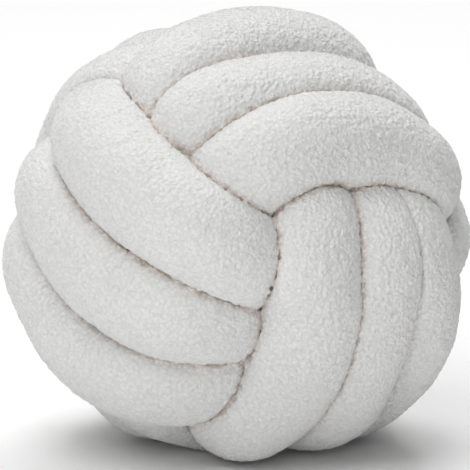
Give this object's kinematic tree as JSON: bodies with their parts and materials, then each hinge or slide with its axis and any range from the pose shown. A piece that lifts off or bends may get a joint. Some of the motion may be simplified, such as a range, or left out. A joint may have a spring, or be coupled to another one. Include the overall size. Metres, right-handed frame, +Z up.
{
  "type": "knot cushion",
  "caption": "Ball-shaped cushion made of one long stuffed fabric tube, knotted so that bands of round strands pass over and under each other on every side.",
  "frame": {"origin": "middle of the bounding box at its lowest height, on the surface that the cushion rests on", "axes": "+Z up, -Y towards the side that the picture shows, +X to the right in it"},
  "size_m": [0.3054, 0.3038, 0.2887],
  "materials": {
    "curly_fleece": "white curly fleece with a short looped pile, matte"
  },
  "bodies": {
    "root": {"knotted_tube": "curly_fleece"}
  },
  "joints": []
}
